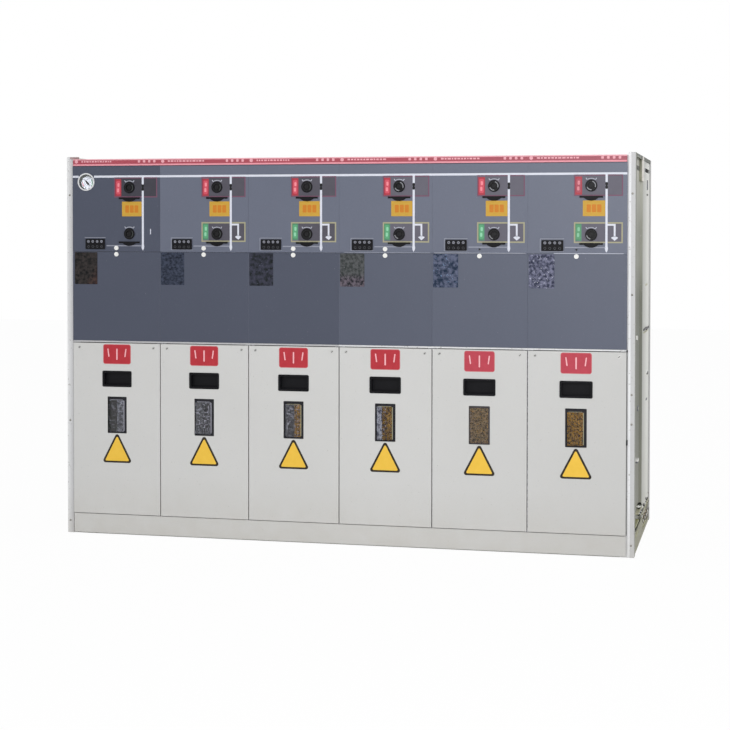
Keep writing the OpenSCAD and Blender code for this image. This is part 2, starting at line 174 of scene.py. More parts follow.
def turned(base, outward, profile, steps=20, index=0):
    # a lathe piece: (radius, height) pairs, from its foot along the outward axis
    outward = Vector(outward)
    side = outward.orthogonal().normalized()
    up = outward.cross(side)
    rings = []
    for r, h in profile:
        turns = [tau * i / steps for i in range(steps if r else 1)]
        rings.append([bm.verts.new((Vector(base) + outward * h + (
            side * cos(a) + up * sin(a)) * r) * mm) for a in turns])
    faces = [ring for ring in (rings[0][::-1], rings[-1]) if len(ring) > 1]
    for a, b in zip(rings, rings[1:]):
        for i in range(steps):  # a tip has one point, so the faces there have three
            corners = (a[i - 1 if a[1:] else 0], a[i if a[1:] else 0],
                       b[i if b[1:] else 0], b[i - 1 if b[1:] else 0])
            faces.append(list(dict.fromkeys(corners)))
    for face in faces:
        bm.faces.new(face).material_index = index


def brick(a, b, index=0):
    slab(box(a[0], a[2], b[0], b[2]), b[1], b[1] - a[1], index)


def makePiece(name, look, body="lineup"):
    # look names the finishes of its faces: the inks by their own name, the rest as in coats
    crease = radians(35)
    bmesh.ops.recalc_face_normals(bm, faces=bm.faces)
    for face in bm.faces:
        face.smooth = True
    for edge in bm.edges:
        edge.smooth = edge.calc_face_angle(0) < crease
    mesh = bpy.data.meshes.new(name)
    bm.to_mesh(mesh)
    bm.clear()
    piece = bpy.data.objects.new(name, mesh)
    scene.collection.objects.link(piece)
    for word in look.split():
        mesh.materials.append(made.get(word) or made[word + "Ink"])
    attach(piece, body)


# shader nodes; a colour is written rrggbb, as it looks on a screen

def tint(code):
    parts = [int(code[i:i + 2], 16) / 255 for i in (0, 2, 4)]
    return [v / 12.92 if v <= 0.04045 else ((v + 0.055) / 1.055) ** 2.4 for v in parts] + [1]


def plug(tree, socket, source):  # a number, a colour or another node's socket
    if isinstance(source, bpy.types.NodeSocket):
        tree.links.new(source, socket)
    else:
        socket.default_value = tint(source) if isinstance(source, str) else source


def add(tree, kind, inputs=None, **settings):
    made = tree.nodes.new("ShaderNode" + kind)
    for key, value in settings.items():
        setattr(made, key, value)
    for key, source in (inputs or {}).items():
        plug(tree, made.inputs[key], source)
    return made


def maths(tree, operation, a, b=0.5, clamp=False):
    return add(tree, "Math", {0: a, 1: b}, operation=operation, use_clamp=clamp).outputs[0]


def remap(tree, value, fromMin=0, fromMax=1, toMin=0, toMax=1):
    return add(tree, "MapRange", {"Value": value, "From Min": fromMin, "From Max": fromMax,
                                  "To Min": toMin, "To Max": toMax}).outputs["Result"]


def noise(tree, place, detail, rough, scale=1):
    return add(tree, "TexNoise", {"Vector": place, "Scale": scale, "Detail": detail,
                                  "Roughness": rough}).outputs["Fac"]


def scaledPlace(tree, scale, stretch=(1, 1, 1), spin=(0, 0, 0)):
    # object coordinates times a scale, with each axis stretched
    place = add(tree, "TexCoord").outputs["Object"]
    turn = add(tree, "Mapping", {"Vector": place, "Scale": stretch, "Rotation": spin})
    return add(tree, "VectorMath", {0: turn.outputs["Vector"], "Scale": scale},
               operation="SCALE").outputs["Vector"]


def mixColour(tree, mask, first, second):
    return add(tree, "Mix", {0: mask, 6: first, 7: second}, data_type="RGBA").outputs[2]


def patches(tree, given):  # broad soft patches, with small specks in them
    place = scaledPlace(tree, given["Scale"])
    mixed = add(tree, "Mix", {"Factor": given["Specks"], "A": noise(tree, place, 3, 0.55),
                              "B": noise(tree, place, 2, 0.7, 60)}).outputs["Result"]
    wide = maths(tree, "MULTIPLY", maths(tree, "SUBTRACT", mixed), given["Contrast"])
    return maths(tree, "ADD", wide, 0.5, True)


def skinRelief(tree, given):  # the grain of a coat, on sheet that isn't quite flat
    grain = noise(tree, scaledPlace(tree, given["Grain scale"]), 2, 0.6)
    wave = noise(tree, scaledPlace(tree, given["Wave scale"]), 1, 0.3)
    return maths(tree, "ADD", maths(tree, "MULTIPLY", grain, given["Grain"]),
                 maths(tree, "MULTIPLY", wave, given["Wave"]))


def scratches(tree, given):  # thin broken scratches, running two ways
    ways = (((1, 1, 26), (0, 0.5, 0)), ((20, 1, 1), (0, 0.3, 0)))
    marks = [remap(tree, noise(tree, scaledPlace(tree, given["Scale"], *way), 1, 0.4), 0.7, 0.76)
             for way in ways]
    return maths(tree, "MULTIPLY", maths(tree, "MAXIMUM", *marks), given["Amount"], True)


def floorDust(tree, given):  # dust that thins out with height above the floor
    place = add(tree, "TexCoord").outputs["Object"]
    height = add(tree, "SeparateXYZ", {0: place}).outputs["Z"]
    fade = maths(tree, "SUBTRACT", 1, maths(tree, "DIVIDE", height, given["Reach"]), True)
    cloudy = maths(tree, "MULTIPLY", fade, noise(tree, place, 4, 0.6, 14))
    return maths(tree, "MULTIPLY", cloudy, given["Amount"], True)


def spots(tree, given):  # scattered small spots, each with a soft edge
    start = maths(tree, "SUBTRACT", 0.72, given["Share"])  # a small share needs a high threshold
    end = maths(tree, "ADD", start, given["Edge"])
    return remap(tree, noise(tree, scaledPlace(tree, given["Scale"]), 2, 0.6), start, end)


def ruledLines(tree, given):  # fine level lines, a little uneven
    place = scaledPlace(tree, given["Lines per metre"], (0.2, 0.2, 1))
    return maths(tree, "MULTIPLY", remap(tree, noise(tree, place, 1, 0.5), 0.42, 0.6),
                 given["Strength"])


def along(tree, given):  # rises from 0 to 1 between two places across the lineup, front to back,
    # or up; both ends count as the same X, and Side keeps it to one of them
    split = add(tree, "SeparateXYZ", {0: add(tree, "TexCoord").outputs["Object"]}).outputs
    x, y, z = [maths(tree, "MULTIPLY", source, given[share]) for source, share in (
        (maths(tree, "ABSOLUTE", split["X"]), "X share"), (split["Y"], "Y share"),
        (split["Z"], "Z share"))]
    total = maths(tree, "ADD", maths(tree, "ADD", x, y), z)
    sided = maths(tree, "MULTIPLY", split["X"], given["Side"])
    return maths(tree, "MULTIPLY", remap(tree, total, given["From"], given["To"]),
                 maths(tree, "GREATER_THAN", sided, -0.001))


def makeGroup(fill, output, inputs):  # a node group named after the function that fills it
    tree = bpy.data.node_groups.new(fill.__name__, "ShaderNodeTree")
    for label, value in inputs.items():
        tree.interface.new_socket(label, in_out="INPUT",
                                  socket_type="NodeSocketFloat").default_value = value
    tree.interface.new_socket(output, in_out="OUTPUT", socket_type="NodeSocketFloat")
    result = fill(tree, tree.nodes.new("NodeGroupInput").outputs)
    tree.links.new(result, tree.nodes.new("NodeGroupOutput").inputs[0])
    return tree


groups = {fill.__name__: makeGroup(fill, output, inputs) for fill, output, inputs in (
    (patches, "Mask", {"Scale": 3, "Specks": 0.3, "Contrast": 1.5}),
    (skinRelief, "Height", {"Grain scale": 500, "Grain": 0.2, "Wave scale": 3, "Wave": 0}),
    (spots, "Mask", {"Scale": 100, "Share": 0.1, "Edge": 0.05}),
    (scratches, "Mask", {"Scale": 6, "Amount": 0.5}),
    (floorDust, "Mask", {"Reach": 0.2, "Amount": 0.5}),
    (ruledLines, "Mask", {"Lines per metre": 300, "Strength": 0.5}),
    (along, "Mask", {"X share": 0, "Y share": 0, "Z share": 0, "From": 0, "To": 1, "Side": 0}))}
print("shader groups:", ", ".join(groups))


def useGroup(tree, name, *values):  # its values in the order of its inputs
    made = tree.nodes.new("ShaderNodeGroup")
    made.node_tree = groups[name]
    for socket, value in zip(made.inputs, values):
        socket.default_value = value
    return made.outputs[0]


# finishes

def newMaterial(name, values):
    material = bpy.data.materials.new(name)
    material.use_nodes = True
    shader = material.node_tree.nodes["Principled BSDF"]
    for label, value in values.items():
        plug(material.node_tree, shader.inputs[label], value)
    return material, material.node_tree, shader


def finish(name, s):
    material, tree, shader = newMaterial(name, {
        label: s[key] for key, label in (("mirror", "Specular IOR Level"), ("metal", "Metallic"))
        if key in s})
    mask = useGroup(tree, "patches", *s.get("patches", ()))
    colour = mixColour(tree, mask, *s["colours"].split())
    if "paler" in s:  # painted sheen: panels from one place on are painted paler, for the softbox's reflection in them
        start, pair = s["paler"]
        place = add(tree, "SeparateXYZ", {0: add(tree, "TexCoord").outputs["Object"]})
        sheenSide = maths(tree, "GREATER_THAN", place.outputs["X"], start * mm)
        colour = mixColour(tree, sheenSide, colour, mixColour(tree, mask, *pair.split()))
    for shares, start, end, side, pair in s.get("zones", ()):  # other colours past some place
        past = useGroup(tree, "along", *shares, start * mm, end * mm, side)
        colour = mixColour(tree, past, colour, mixColour(tree, mask, *pair.split()))
    for group in ("spots", "ruledLines", "scratches", "floorDust"):
        if group in s:
            *values, over = s[group]
            colour = mixColour(tree, useGroup(tree, group, *values), colour, over)
    relief = useGroup(tree, "skinRelief", *s.get("relief", ()))
    bump = add(tree, "Bump", {"Strength": s.get("bump", 0.3), "Distance": 0.001,
                              "Height": relief})
    plug(tree, shader.inputs["Base Color"], colour)
    plug(tree, shader.inputs["Roughness"], remap(tree, mask, 0, 1, *s["rough"]))
    plug(tree, shader.inputs["Normal"], bump.outputs["Normal"])
    return material


# colours holds a coat's darker and paler patches; patches, relief, spots and the like hold the
# inputs of their group in order, then the colour that shows there; a zone holds its direction,
# where it starts and ends, its side and its two colours
across, leftward, frontToBack, up = (1, 0, 0), (-1, 0, 0), (0, 1, 0), (0, 0, 1)
# painted shade: the doors are painted a little darker towards the right end, to even out the key
# light falling from the right
doorPaint = dict(colours="c7c7c5 cdcdcc", rough=(0.42, 0.55), patches=(2.2, 0.35),
    relief=(600, 0.35, 2.5, 3), bump=0.5, floorDust=(0.25, 0.5, "b0aa9e"),
    spots=(160, 0.015, "b0b0ac"), zones=((across, 200, 1100, 1, "bebebc c4c4c3"),))
postPaint = dict(rough=(0.4, 0.52), relief=(600, 0.35), bump=0.4)
panelPaint = dict(mirror=0.45, colours="3e4454 464b5c", rough=(0.36, 0.46),
    patches=(1.8, 0.4, 1.6), relief=(700, 0.5, 2.2, 3), bump=0.5, spots=(190, 0.012, "808492"))
endPaint = dict(colours="c6c7c3 d0d1cd", rough=(0.5, 0.65), patches=[4], relief=(500, 0.4, 3, 3),
    bump=0.5, floorDust=(0.5, 0.6, "a09c8c"), spots=(120, 0.03, "a09e96"))
steel = dict(colours="aaaaa8 cdcdcb", rough=(0.22, 0.4), patches=(40, 0.3, 2), relief=(600, 0.3),
    bump=0.25, metal=1)
flagPlastic = dict(mirror=0.3, rough=(0.3, 0.4), patches=[30], bump=0.2)
screenMetal = dict(rough=(0.4, 0.6), patches=(120, 0.3, 3))  # the screens in the windows
coats = {
    "lightGreyPaint": doorPaint,
    # painted light and shade: the left post is painted paler along its outer edge, for the key
    # light at the right;
    # the right one has a painted highlight on its fold with a painted shade line beside it, and
    # its outer side is painted dark as shade
    "postGreyPaint": postPaint | dict(mirror=0.35, colours="bebebf c5c6c7",
        floorDust=(0.2, 0.5, "b0aa9e"), spots=(110, 0.07, "b8b7b6"), zones=(
            (leftward, -2000, -1900, -1, "dedfe0 e6e7e8"),
            (leftward, 3 - rightEnd, 24 - rightEnd, -1, "bebec0 c9c9cb"),
            (leftward, 12 - rightEnd, 14 - rightEnd, 1, "bcbcbe c8c8ca"),
            (leftward, 16.5 - rightEnd, 17.5 - rightEnd, 1, "dedfe1 eaebec"),
            (across, rightEnd - 0.8, rightEnd - 0.2, 1, "686a62 7c7e74"))),
    "rearPostGreyPaint": postPaint | dict(colours="a6a6a6 b1b1b0", rough=(0.45, 0.6),
        floorDust=(0.2, 0.5, "969288")),
    # painted sheen: the middle panels are painted paler from bay 4 and again from bay 5, for the
    # softbox's reflection growing towards the right
    "darkGreyPaint": panelPaint | dict(zones=[
        (across, bays[k]["left"] - 1, bays[k]["left"] + 1, 1, pair)
        for k, pair in ((3, "494f5f 515667"), (4, "4d5363 555a6b"))]),
    # painted sheen: the mimic panels are painted paler from bay 2 on
    "mimicGreyPaint": panelPaint | dict(paler=(bays[1]["left"], "5b6171 636879")),
    # the front half of each end stands back; it is painted dark as shade, most low down and near
    # the front, and paler towards the top and the back
    "sideGreyPaint": endPaint | dict(colours="616359 707267", zones=(
        (up, 970, 1120, 0, "828379 929388"), (up, 1250, 1500, 0, "a8a89e b8b8ae"),
        (frontToBack, 2, 22, 0, "b4b5b0 c0c1bc"), (frontToBack, 60, 300, 0, "dedfda e8e9e4"),
        (across, high("side_panels").x - 3, high("side_panels").x - 2, 0, "d6d2cc e4e0da"))),
    "roofGreyPaint": endPaint,
    "redPaint": dict(colours="9d3c4b ab4756", rough=(0.35, 0.5), patches=[6], relief=(700, 0.3),
        zones=((across, 200, 1000, 1, "923e4e a04a5a"),)),
    "galvanisedSteel": dict(colours="7e807d a0a19b", rough=(0.4, 0.6), patches=(22, 0.5, 3),
        relief=(300, 0.3), metal=0.5, floorDust=(0.3, 0.6, "88857a")),
    "blackPlastic": dict(mirror=0.12, colours="0e0e11 18181c", rough=(0.35, 0.5), patches=[12],
        relief=(900, 0.4)),
    "blackSteel": dict(mirror=0.2, colours="0c0c0e 1e1e21", rough=(0.3, 0.5), patches=(30, 0.3, 2),
        relief=(800, 0.3), scratches=(40, 0.35, "606062")),
    "whitePlastic": dict(colours="e2e2de ececea", rough=(0.3, 0.42), patches=[20], relief=[800],
        bump=0.2),
    "redFlagPlastic": flagPlastic | dict(colours="a4303e b8404e"),
    "greenFlagPlastic": flagPlastic | dict(colours="42805c 5c9674"),
    "blackRubber": dict(mirror=0.2, colours="202024 343439", rough=(0.7, 0.85), patches=[10],
        relief=(900, 0.6), bump=0.4),
    "lampLens": dict(mirror=0.4, colours="3c3e42 8c8c92", rough=(0.15, 0.3), patches=(300, 0.3, 3),
        bump=0.2),
    "brightSteel": steel,
    "bezelSteel": steel | dict(colours="cecfd2 e6e7e9", metal=0.4),
    "dullSteel": dict(colours="6e6c68 96948e", rough=(0.35, 0.55), patches=(50, 0.3, 2.5),
        relief=(500, 0.4), metal=0.9),
    "tinnedCopper": dict(colours="968c7a bcb4a4", rough=(0.25, 0.45), patches=(30, 0.3, 2.5),
        relief=(400, 0.3), metal=1),
    # dust has dulled the board in bay 5
    "ochreBoard": dict(colours="422a02 b4820c", rough=(0.5, 0.7), patches=(100, 0.3, 6),
        relief=(200, 0.6), bump=0.4, zones=[
            (across, bays[k]["left"] - 10, bays[k]["left"], 1, pair)
            for k, pair in ((4, "3a2e18 a88c66"), (5, "301c00 c08a10"))]),
    "insideGrey": dict(colours="8c8e9a f0f1fa", rough=(0.4, 0.6), patches=(90, 0.3, 6),
        relief=(500, 0.3)),
    "greyGasketAndShadow": dict(colours="403c40 545052", rough=(0.6, 0.8), patches=[60], relief=(500, 0.4),
        mirror=0.2),
    "screenWire": screenMetal | dict(colours="1c1b1d 363438", mirror=0.3),
    # painted glints: the knot finishes are bright blobs for the wire's highlights, ochre in the
    # later bays
    "screenKnot": screenMetal | dict(colours="686876 b0b0c0", rough=(0.3, 0.5)),
    "dustyKnot": screenMetal | dict(colours="7c541a ce9c42"),
    "endAnglePaint": dict(colours="4a4e46 acaea2", rough=(0.5, 0.7), patches=(9, 0.3, 7),
        relief=(500, 0.5), mirror=0.3),
    "endPlatePaint": dict(colours="767768 9c9b88", rough=(0.5, 0.7), patches=(14, 0.3, 3),
        relief=(500, 0.4), floorDust=(0.1, 0.5, "a8a086"), mirror=0.3),
    "duskyPinkPaint": dict(colours="96787a ac9292", rough=(0.5, 0.7), patches=(30, 0.3, 3),
        relief=(500, 0.4)),
}
for number, film in enumerate((  # painted reflection: the film on each plate pocket carries mottled reflections and glints of its own
        dict(colours="0c0f10 3a3534", patches=(80, 0.3, 5), ruledLines=(330, 0.25, "3a3638"),
            zones=(((-6, 0, -4), -10600, -10200, 0, "281c20 583e36"),)),
        dict(colours="10141e 3e4454", patches=(90, 0.4, 7), ruledLines=(330, 0.35, "4c5468")),
        dict(colours="141a1a 3e3f4e", patches=(70, 0.4, 6), ruledLines=(330, 0.15, "3c3e46"),
            spots=(170, 0.06, "5c6074")),
        dict(colours="222228 68606a", patches=(90, 0.3, 7),
            zones=((up, 1055, 1080, 0, "343838 56585a"),), spots=(130, 0.03, "a09eaa")),
        dict(colours="1c2a3e 60667c", patches=(80, 0.3, 5), spots=(120, 0.06, "7e98bc")),
        dict(colours="2e3244 74768c", patches=(90, 0.3, 6), spots=(140, 0.08, "c4c6d6"))), 1):
    coats[f"plateFilm{number}"] = dict(rough=(0.45, 0.7), bump=0.6, mirror=0.1,
        relief=(200, 1.4)) | film
for number, pair in ((1, "464850 acaeba"), (4, "3c405a c2c4d2")):
    coats[f"innerPlate{number}"] = coats["insideGrey"] | dict(colours=pair)
inks = {
    "white": "ced1dc dcdfea", "mark": "b0b4c1 bec2ce", "pale": "8c8f9c 9a9daa",
    "ring": "5c5e64 707278", "cream": "98957a a8a48a", "maroon": "6c485c 785266",
    "darkField": "383740 42414a", "field": "4a4852 56545e", "paleField": "5c5a65 666470",
    "black": "0c0c0e 161619", "orange": "c0741e cc802a", "yellow": "be9434 caa042",
    "signYellow": "e4b638 f0c650", "signEdge": "221b12 32291d", "labelRed": "a42630 be3842",
    "labelPink": "aa3646 c04856", "labelPale": "e8aab0 f2bcc2", "borderRed": "bc5c62 ca6c72",
    "pink": "de8e9a e89eaa", "headerMark": "de9ea8 eaaeb8", "seam": "28222c 3a2e38",
    "flagRed": "c64a5c d45a6a", "flagPink": "e4808c f0949e", "flagGreen": "549c70 64aa80",
    "flagMint": "82c49e 96d2b0", "flagRedOld": "a04858 b05866", "flagPinkOld": "ce7e8a da8e98",
    "flagGreenOld": "54926a 629e76", "flagMintOld": "7eb896 90c4a4", "fitting": "a8a68e c0bea6",
    "olive": "3e4038 54564c", "brass": "888962 9e9d76", "agedRubber": "606160 7c7d7c",
    "bead": "9696a2 bebeca", "worn": "303434 424644", "wornPale": "76777c 909196",
}
for name, colours in inks.items():
    coats[name + "Ink"] = dict(colours=colours, rough=(0.42, 0.56), patches=(40, 0.5), bump=0.15,
        mirror=0.25)
made = {name: finish(name, s) for name, s in coats.items()}

glass = {  # the panes are coated against glare, so they mirror little
    "windowGlass": dict(colour=(0.88, 0.89, 0.89, 1), rough=(0.004, 0.02), specks=0.6,
        grainScale=300, ior=1.22, lampTint=(0.9, 0.9, 0.9, 1)),
    "clearGlass": dict(colour=(0.95, 0.96, 0.96, 1), rough=(0.01, 0.05), specks=0.2,
        grainScale=100, ior=1.45, lampTint=(0.95, 0.95, 0.95, 1)),
}
for name, s in glass.items():
    made[name], tree, shader = newMaterial(name, {
        "Base Color": s["colour"], "IOR": s["ior"], "Metallic": 0, "Transmission Weight": 1})
    smears = useGroup(tree, "patches", 30, s["specks"], 3)
    relief = useGroup(tree, "skinRelief", s["grainScale"], 0.4, 3, 1)
    bump = add(tree, "Bump", {"Strength": 0.15, "Distance": 0.001, "Height": relief})
    plug(tree, shader.inputs["Roughness"], remap(tree, smears, 0, 1, *s["rough"]))
    plug(tree, shader.inputs["Normal"], bump.outputs["Normal"])
    lampRay = add(tree, "LightPath").outputs["Is Shadow Ray"]  # lamps reach what is behind it
    clear = add(tree, "BsdfTransparent", {"Color": s["lampTint"]}).outputs["BSDF"]
    mix = add(tree, "MixShader", {0: lampRay, 1: shader.outputs["BSDF"], 2: clear})
    plug(tree, tree.nodes["Material Output"].inputs["Surface"], mix.outputs["Shader"])

cadFinish = {  # each finish and the CAD nodes that have it, by how their names start
    "galvanisedSteel": ("base_rails", "base_crossmembers", "floor_plates"),
    "lightGreyPaint": ("plinth_skirt", "rear_panels", "door_"),
    "postGreyPaint": ("front_posts", "mid_rail"), "rearPostGreyPaint": ("rear_posts",),
    "sideGreyPaint": ("side_panels",), "roofGreyPaint": ("roof_covers",),
    "insideGrey": ("bay_partitions",), "ochreBoard": ("barrier_boards",),
    "darkGreyPaint": ("middle_panels",), "mimicGreyPaint": ("mimic_panels",),
    "redPaint": ("header_strip",), "tinnedCopper": ("earth_terminal",),
    "blackPlastic": ("window_frames", "pull_cups", "operating_bushings", "interlock_slides",
                     "voltage_indicators"),
    "windowGlass": ("window_panes",), "clearGlass": ("gauge_glass",),
    "redFlagPlastic": ("load_flags",), "greenFlagPlastic": ("earth_flags",),
    "whitePlastic": ("panel_caps",), "bezelSteel": ("gauge_case",),
    "blackSteel": ("load_shaft_", "earth_shaft_"),
}
foldedSheet = dict(radius=0.9, flatWithin=1, sharpOver=50, nodes=(
    "plinth_skirt", "front_posts", "rear_posts", "mid_rail", "middle_panels", "mimic_panels",
    "header_strip", "roof_covers", "rear_panels", "pull_cups", "voltage_indicators", "door_"))
for name, node in nodes.items():
    look = [look for look, starts in cadFinish.items() if name.startswith(starts)][0]
    node.data.materials.clear()
    node.data.materials.append(made[look])
    if name.startswith(foldedSheet["nodes"]):
        node.modifiers.new("weld", "WELD").merge_threshold = 0.01 * mm
        flat = node.modifiers.new("flat", "DECIMATE")  # each flat side becomes one face
        flat.decimate_type = "DISSOLVE"
        flat.angle_limit = radians(foldedSheet["flatWithin"])
        fold = node.modifiers.new("fold", "BEVEL")
        fold.width, fold.segments = foldedSheet["radius"] * mm, 2
        fold.limit_method, fold.angle_limit = "ANGLE", radians(foldedSheet["sharpOver"])
        node.modifiers.new("split", "TRIANGULATE")
        # big flat sides shade flat
        node.modifiers.new("even", "WEIGHTED_NORMAL").keep_sharp = True
print("finishes on", len(nodes), "CAD nodes")


# painted lines of the mimic diagram

lines = dict(
    coat=0.25,  # how thick the paint lies
    busDrop=44.5, busWidth=8.5,  # the busbar line, below the panels' top
    branchFromSocket=58, branchWidth=8.5, branchFoot=5,
    foot=((0, 0), (4.2, 7), (6, 15), (4.25, 26)),  # the right half of its pointed foot
    symbol=((2.75, -13), (5.5, -6.5), (3.3, 0), (5.5, 6.5), (2.75, 13)),  # black, on it
    frame=(-66, 120), loadFrame=(-40, 42, 4.5), earthFrame=(-32, 48, 5.5),
    field=-35, fieldHole=22, fieldCoat=0.1,
    earthDrop=(38, 31, -23), earthLine=7, arrow=((14.5, -3), (0, 3), (-14.5, -3)),
    arrowTall=15, loneMark=(33, -2, 20, 3.5),
    arcRadius=27.5, arcWidth=2.4, arcSweep=35, tick=(3.2, 8),
    linkRise=24, linkWidth=4, blockWide=84, blockFrame=(2.5, 5),
)
# the fields grow paler along the lineup, a painted sheen like the panels'
fields = ("darkField", "field", "field", "paleField", "paleField", "paleField")


def strip(x0, z0, x1, z1, w, y=skin, index=0):  # a painted line between two points
    along = Vector((x1 - x0, z1 - z0)).normalized() * (w / 2)
    x, z = -along.y, along.x
    slab([(x0 - x, z0 - z), (x1 - x, z1 - z), (x1 + x, z1 + z), (x0 + x, z0 + z)], y,
         lines["coat"], index)


def rays(cx, cz, turns, near, far, w, y=skin, index=0):  # marks that point at a centre
    for turn in turns:
        c, s = cos(radians(turn)), sin(radians(turn))
        strip(cx + near * c, cz + near * s, cx + far * c, cz + far * s, w, y, index)


def paintLines(bay):
    s, coat, x, k = lines, lines["coat"], bay["socket"], bay["number"]
    branch, w = x + s["branchFromSocket"], s["branchWidth"]
    loadZ, earthZ, busZ = bay["loadZ"], bay["earthZ"], mimicTop - s["busDrop"]
    panel, rim = reach("mimic_panels", "x"), reach("gauge_case", "x")
    start = (bay["left"] if k > 1 else panel[0]) + 0.5
    end = (bay["right"] if k < bayCount else panel[1]) - 0.5
    if k == layout["gaugeBay"]:  # the line stops at the gauge's rim on both sides
        strip(start, busZ, rim[0] + 2, busZ, s["busWidth"])
        start = rim[1] - 3
    strip(start, busZ, end, busZ, s["busWidth"])
    symbolLow, symbolHigh = loadZ + s["symbol"][0][1], loadZ + s["symbol"][-1][1]
    strip(branch, symbolHigh, branch, busZ - s["busWidth"] / 2, w)
    foot = mimicLow + s["branchFoot"]
    slab(mirrored(branch, foot, s["foot"] + ((w / 2, symbolLow - foot),)), skin, coat)
    if k > 1:  # earth symbol: out from the branch, down, and an arrowhead
        dz, dx, tip = s["earthDrop"]
        top, side, line, apex = earthZ + dz, branch + dx, s["earthLine"], earthZ + tip
        neck = apex + s["arrowTall"]
        strip(branch + w / 2, top, side + line / 2, top, line)
        strip(side, neck, side, top - line / 2, line)
        head = [(side, apex)] + [(side + px, neck + pz) for px, pz in s["arrow"]]
        slab(roundCorners(head, 2, 4), skin, coat)
    else:
        dx, z0, z1, line = s["loneMark"]
        strip(branch + dx, earthZ + z0, branch + dx, earthZ + z1, line)
    makePiece(f"mimic_lines_{k}", "white")

    r, half, sweep = s["arcRadius"], s["arcWidth"] / 2, s["arcSweep"]
    for z in (loadZ, earthZ):  # turning range of the lever
        slab(arcBand(x, z, r - half, r + half, 90 - sweep, 90 + sweep), skin, coat)
        rays(x, z, (90 - sweep, 90 + sweep), r - 1, r + s["tick"][1], s["tick"][0])
    makePiece(f"lever_marks_{k}", "mark")

    linkZ = mimicLow + s["linkRise"]
    z0, z1 = reach("voltage_indicators", "z")
    x0 = low("voltage_indicators").x - bays[0]["left"] + bay["left"]
    x1 = x0 + s["blockWide"]
    strip(x1 + 6, linkZ, branch - w / 2, linkZ, s["linkWidth"])
    line, off = s["blockFrame"]
    x0, x1, z0, z1 = x0 - off, x1 + off * 0.5, z0 - off * 0.3, z1 + off
    strip(x0, z1, x1, z1, line)
    if k > 1:
        strip(x0, z0, x0, z1, line)
        strip(x0, z0, x1, z0, line * 0.7)
    makePiece(f"indicator_border_{k}", "pale")

    slab(mirrored(branch, loadZ, s["symbol"]), skin, coat)
    makePiece(f"switch_symbol_{k}", "black")

    for kind, z, ink in (("loadFrame", loadZ, "maroon"), ("earthFrame", earthZ, "cream"))[:k]:
        bottom, top, line = s[kind]
        gap, r = w / 2 + 0.5, s["fieldHole"]
        x0, x1 = [x + v for v in s["frame"]]
        z0, z1 = z + bottom + line, z + top - line
        left, right = x + s["field"], branch - gap
        # a darker field inside it, round the socket and beyond the branch
        for outline in ([(left, z0), (x, z0)] + arc(x, z, r, 270, 90, 24) + [(x, z1), (left, z1)],
                        [(x, z0), (right, z0), (right, z1), (x, z1)] + arc(x, z, r, 90, -90, 24),
                        box(branch + gap, z0, x1 - line, z1)):
            slab(outline, skin, s["fieldCoat"], 1)
        for sx0, sx1 in ((x0, right), (branch + gap, x1)):
            for sz in (z0 - line / 2, z1 + line / 2):
                strip(sx0, sz, sx1, sz, line)
        for sx in (x0 + line / 2, x1 - line / 2):
            strip(sx, z0, sx, z1, line)
        makePiece(f"{kind}_{k}", f"{ink} {fields[k - 1]}")


def markFlags(bay):  # soft pale marks on the flags, seen through their windows
    s = dict(fromSocket=-49, plate=(18, 54, 5), block=(9, 16, 4), offset=(1, 11), lay=0.12)
    x, old = bay["socket"] + s["fromSocket"], "Old" * (bay["number"] == bayCount)  # faded
    dx, dz = s["offset"]
    kinds = (("load", 0, "flagRed", "flagPink"), ("earth", 10, "flagGreen", "flagMint"))
    for kind, rise, first, second in kinds[:bay["number"]]:  # bay 1 has no earthing switch
        z, y = bay[kind + "Z"] + rise, low(f"{kind}_flags").y
        slab(centredBox(x, z, *s["plate"]), y, s["lay"])
        for side in (-1, 1):
            slab(centredBox(x + side * dx, z + side * dz, *s["block"]), y - s["lay"], s["lay"], 1)
        makePiece(f"{kind}_flag_marks_{bay['number']}", f"{first}{old} {second}{old}")


def fillSeams():  # the folded edges inside the seams, just behind the panels' faces
    s = dict(deep=0.8, wide=0.9, edgeHighlights=((4, 20, 1), (5, 8, 1.6), (6, 100, 2.6)))
    busZ, bus = mimicTop - lines["busDrop"], lines["busWidth"] / 2
    deep, half = skin + s["deep"], s["wide"] / 2
    for x in [bay["left"] for bay in bays[1:]]:
        brick((x - half, deep, low("middle_panels").z + 2), (x + half, skin + 3, mimicTop - 2))
        brick((x - half, skin + 0.2, busZ - bus), (x + half, deep, busZ + bus), 1)
    makePiece("panel_seams", "mimicGreyPaint white")
    for k, start, wide in s["edgeHighlights"]:  # painted highlight along the lower edge of the last mimic panels
        bay, z = bays[k - 1], mimicLow + 0.8
        strip(bay["left"] + start, z, bay["right"] - 8, z, wide)
    makePiece("panel_edge_highlights", "mark")


for paint in (paintLines, markFlags):
    for bay in bays:
        paint(bay)
fillSeams()
print("mimic diagram painted on", len(bays), "panels")


# plates and labels

plates = dict(
    film=0.15,  # a printed layer on a plate
    name=dict(x=(-32, 53), z=(-117, -57), corner=1.5, thick=0.5, block=(16, 30, 3), pitch=20),
    label=dict(size=(120, 81), drop=4.5, corner=9, border=2.5, thick=0.4, bar=(5.6, 46, 2.4),
        sideBar=(5, 34, 2.4), sideBars=(37, 6, 8), ink=0.12),
    # a triangle: half its width before its corners are rounded off, and its height; the field
    # in its border is inset by so many border widths at its sides, foot and tip
    sign=dict(half=66.08, tall=118, drop=372, corner=9, border=7.6, thick=0.5,
        inset=(1.73, 1, 2.2), innerCorner=4.05),
    pocket=dict(x=(4, 103), z=(-134, -3), thick=0.8),
)


def plateBox(s, x, z, corner, steps):
    (x0, x1), (z0, z1) = s["x"], s["z"]
    return centredBox(x + (x0 + x1) / 2, z + (z0 + z1) / 2, x1 - x0, z1 - z0, corner, steps)


